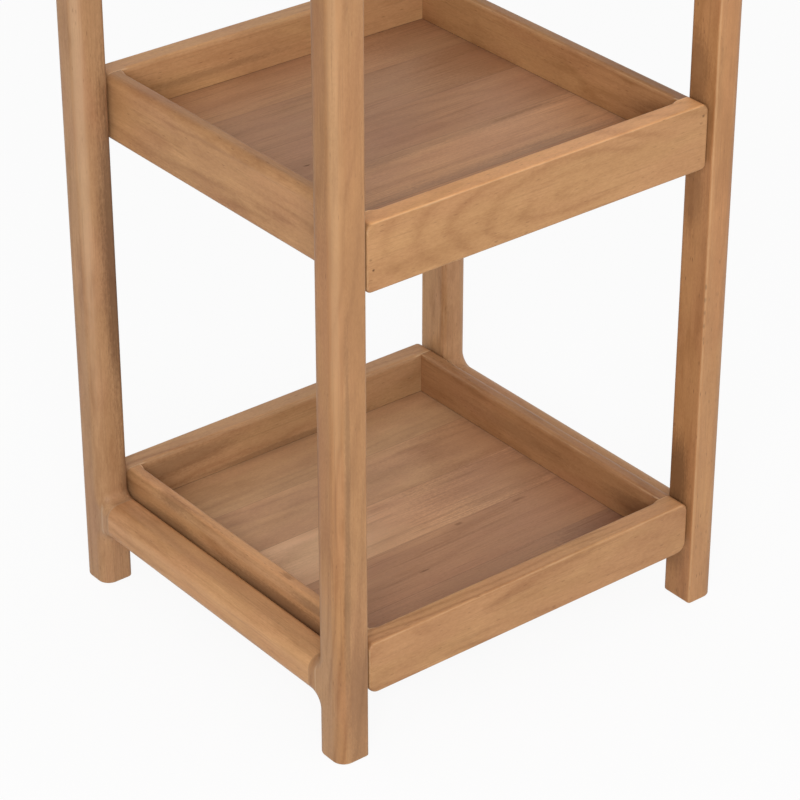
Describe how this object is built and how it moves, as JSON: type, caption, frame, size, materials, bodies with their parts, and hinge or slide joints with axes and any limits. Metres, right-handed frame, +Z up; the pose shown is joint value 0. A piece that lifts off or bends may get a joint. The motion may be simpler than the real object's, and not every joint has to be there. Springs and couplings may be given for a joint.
{
  "type": "tiered side table",
  "caption": "Wooden side table of open rimmed trays, hung one above another between two side frames of rounded legs and low stretchers.",
  "frame": {"origin": "on the floor, under the middle of the table", "axes": "+Z up from the floor, +X to the right of the front, +Y to the back"},
  "size_m": [0.368, 0.334, 0.762],
  "materials": {
    "frame_wood": "satin",
    "rim_wood": "satin",
    "base_wood": "satin",
    "dowel_wood": "satin"
  },
  "bodies": {
    "root": {"bottom_tray_back_rim": "rim_wood", "bottom_tray_base_board_1": "base_wood", "bottom_tray_base_board_2": "base_wood", "bottom_tray_base_board_3": "base_wood", "bottom_tray_base_board_4": "base_wood", "bottom_tray_base_board_5": "base_wood", "bottom_tray_corner_dowels": "dowel_wood", "bottom_tray_front_rim": "rim_wood", "bottom_tray_left_rim": "rim_wood", "bottom_tray_leg_dowels": "dowel_wood", "bottom_tray_right_rim": "rim_wood", "leg_back_left": "frame_wood", "leg_back_right": "frame_wood", "leg_front_left": "frame_wood", "leg_front_right": "frame_wood", "middle_tray_back_rim": "rim_wood", "middle_tray_base_board_1": "base_wood", "middle_tray_base_board_2": "base_wood", "middle_tray_base_board_3": "base_wood", "middle_tray_base_board_4": "base_wood", "middle_tray_base_board_5": "base_wood", "middle_tray_corner_dowels": "dowel_wood", "middle_tray_front_rim": "rim_wood", "middle_tray_left_rim": "rim_wood", "middle_tray_leg_dowels": "dowel_wood", "middle_tray_right_rim": "rim_wood", "stretcher_left": "frame_wood", "stretcher_right": "frame_wood", "top_tray_back_rim": "rim_wood", "top_tray_base_board_1": "base_wood", "top_tray_base_board_2": "base_wood", "top_tray_base_board_3": "base_wood", "top_tray_base_board_4": "base_wood", "top_tray_base_board_5": "base_wood", "top_tray_corner_dowels": "dowel_wood", "top_tray_front_rim": "rim_wood", "top_tray_left_rim": "rim_wood", "top_tray_leg_dowels": "dowel_wood", "top_tray_right_rim": "rim_wood"}
  },
  "joints": []
}
